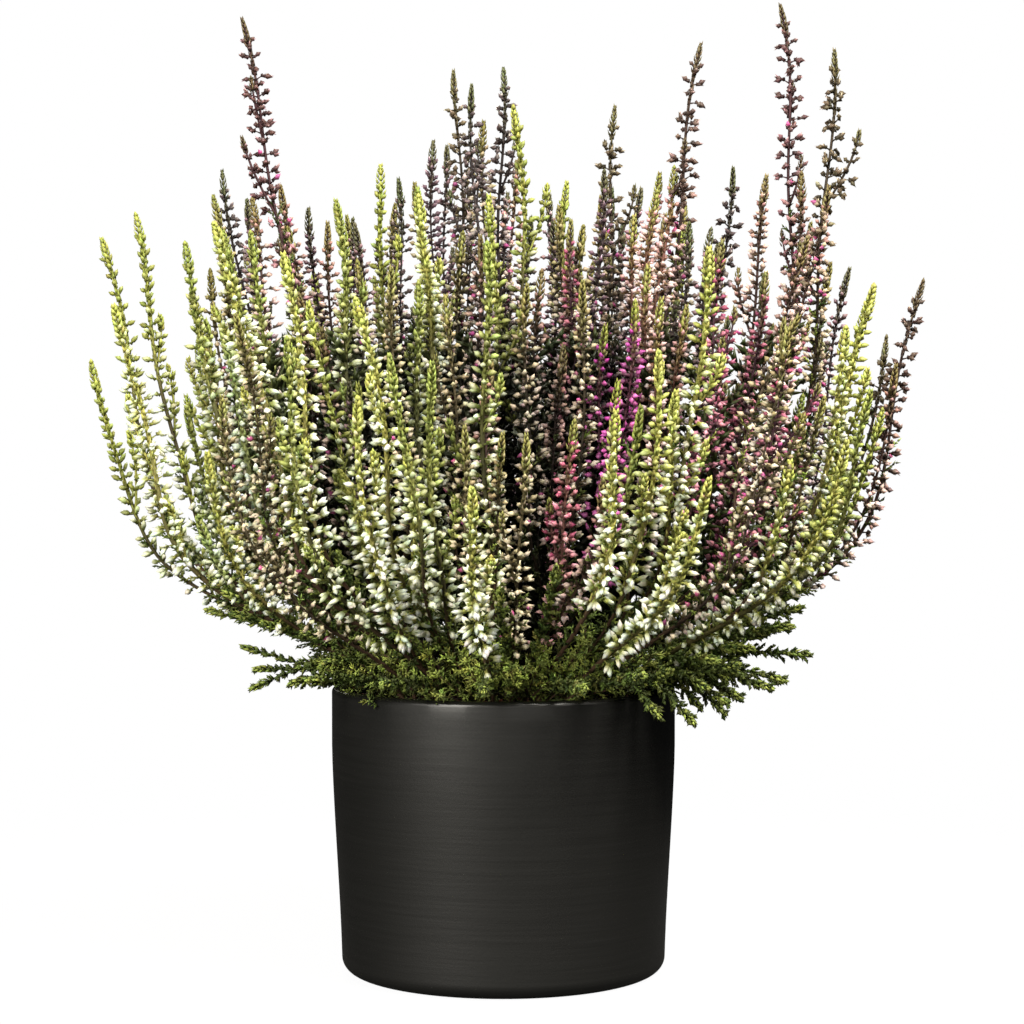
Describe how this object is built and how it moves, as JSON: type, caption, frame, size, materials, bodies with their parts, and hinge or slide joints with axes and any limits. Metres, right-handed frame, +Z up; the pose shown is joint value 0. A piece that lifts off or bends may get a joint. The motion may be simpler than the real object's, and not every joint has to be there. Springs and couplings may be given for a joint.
{
  "type": "potted heather",
  "caption": "Bud-blooming heather in cream, rose and plum kinds, a fountain of slim flower spikes that rises from a plain charcoal stoneware planter.",
  "frame": {"origin": "centre of the planter's flat foot, on the surface that it stands on", "axes": "+Z up along the planter's centreline, -Y towards the viewer at the front of the bush, +X to the viewer's right"},
  "size_m": [0.338, 0.3126, 0.397],
  "materials": {
    "stoneware": "satin",
    "peat": "matte",
    "cream_heather": "matte",
    "rose_heather": "matte",
    "plum_heather": "matte"
  },
  "bodies": {
    "root": {"planter": "stoneware", "soil": "peat", "spray_01_cream": "cream_heather", "spray_02_plum": "plum_heather", "spray_03_rose": "rose_heather", "spray_04_cream": "cream_heather", "spray_05_rose": "rose_heather", "spray_06_plum": "plum_heather", "spray_07_cream": "cream_heather", "spray_08_cream": "cream_heather", "spray_09_plum": "plum_heather", "spray_10_rose": "rose_heather", "spray_11_cream": "cream_heather", "spray_12_plum": "plum_heather", "spray_13_cream": "cream_heather", "spray_14_cream": "cream_heather", "spray_15_rose": "rose_heather", "spray_16_cream": "cream_heather", "spray_17_rose": "rose_heather", "spray_18_plum": "plum_heather", "spray_19_rose": "rose_heather", "spray_20_plum": "plum_heather", "spray_21_cream": "cream_heather", "spray_22_cream": "cream_heather", "spray_23_plum": "plum_heather", "spray_24_cream": "cream_heather", "spray_25_cream": "cream_heather", "spray_26_rose": "rose_heather", "spray_27_cream": "cream_heather", "spray_28_plum": "plum_heather", "spray_29_cream": "cream_heather", "spray_30_cream": "cream_heather", "spray_31_plum": "plum_heather", "spray_32_cream": "cream_heather", "spray_33_rose": "rose_heather", "spray_34_cream": "cream_heather", "spray_35_plum": "plum_heather", "spray_36_cream": "cream_heather", "spray_37_cream": "cream_heather", "spray_38_plum": "plum_heather", "spray_39_cream": "cream_heather", "spray_40_plum": "plum_heather", "spray_41_rose": "rose_heather", "spray_42_rose": "rose_heather", "spray_43_cream": "cream_heather", "spray_44_plum": "plum_heather", "spray_45_cream": "cream_heather", "spray_46_plum": "plum_heather", "spray_47_cream": "cream_heather", "spray_48_plum": "plum_heather", "spray_49_plum": "plum_heather", "spray_50_cream": "cream_heather", "spray_51_cream": "cream_heather", "spray_52_cream": "cream_heather", "spray_53_cream": "cream_heather", "spray_54_plum": "plum_heather"}
  },
  "joints": []
}
